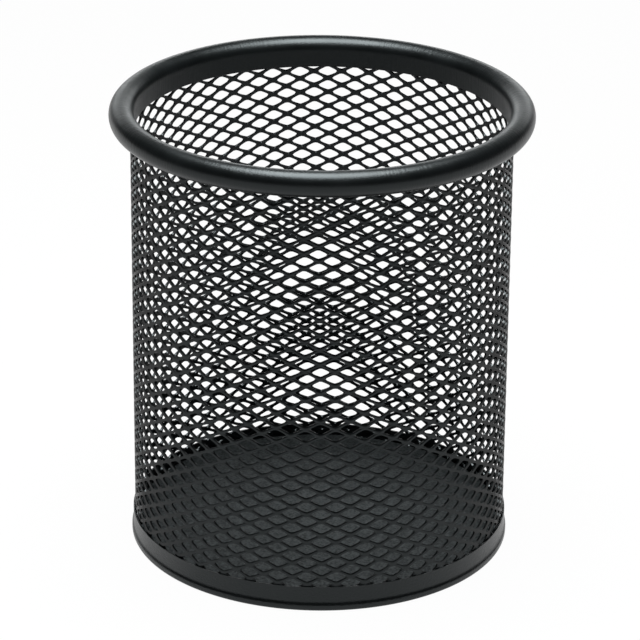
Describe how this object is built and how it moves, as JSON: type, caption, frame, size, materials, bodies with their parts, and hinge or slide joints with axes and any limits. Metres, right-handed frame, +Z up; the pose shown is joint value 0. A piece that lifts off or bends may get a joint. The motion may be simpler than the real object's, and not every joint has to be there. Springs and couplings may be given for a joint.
{
  "type": "pen holder cup",
  "caption": "Round open pencil cup: a wall of expanded metal mesh between a rolled tubular rim and a shallow pressed base, all powder coated black.",
  "frame": {"origin": "centre of the ring that the cup stands on, level with the desk", "axes": "+Z up along the cup's axis, out of its mouth; X and Y are level, and the cup is round about Z"},
  "size_m": [0.0906, 0.0906, 0.1003],
  "materials": {
    "mesh_coat": "satin",
    "rim_coat": "satin",
    "base_coat": "satin"
  },
  "bodies": {
    "root": {"mesh_wall": "mesh_coat", "rim_hoop": "rim_coat", "base_pan": "base_coat"}
  },
  "joints": []
}
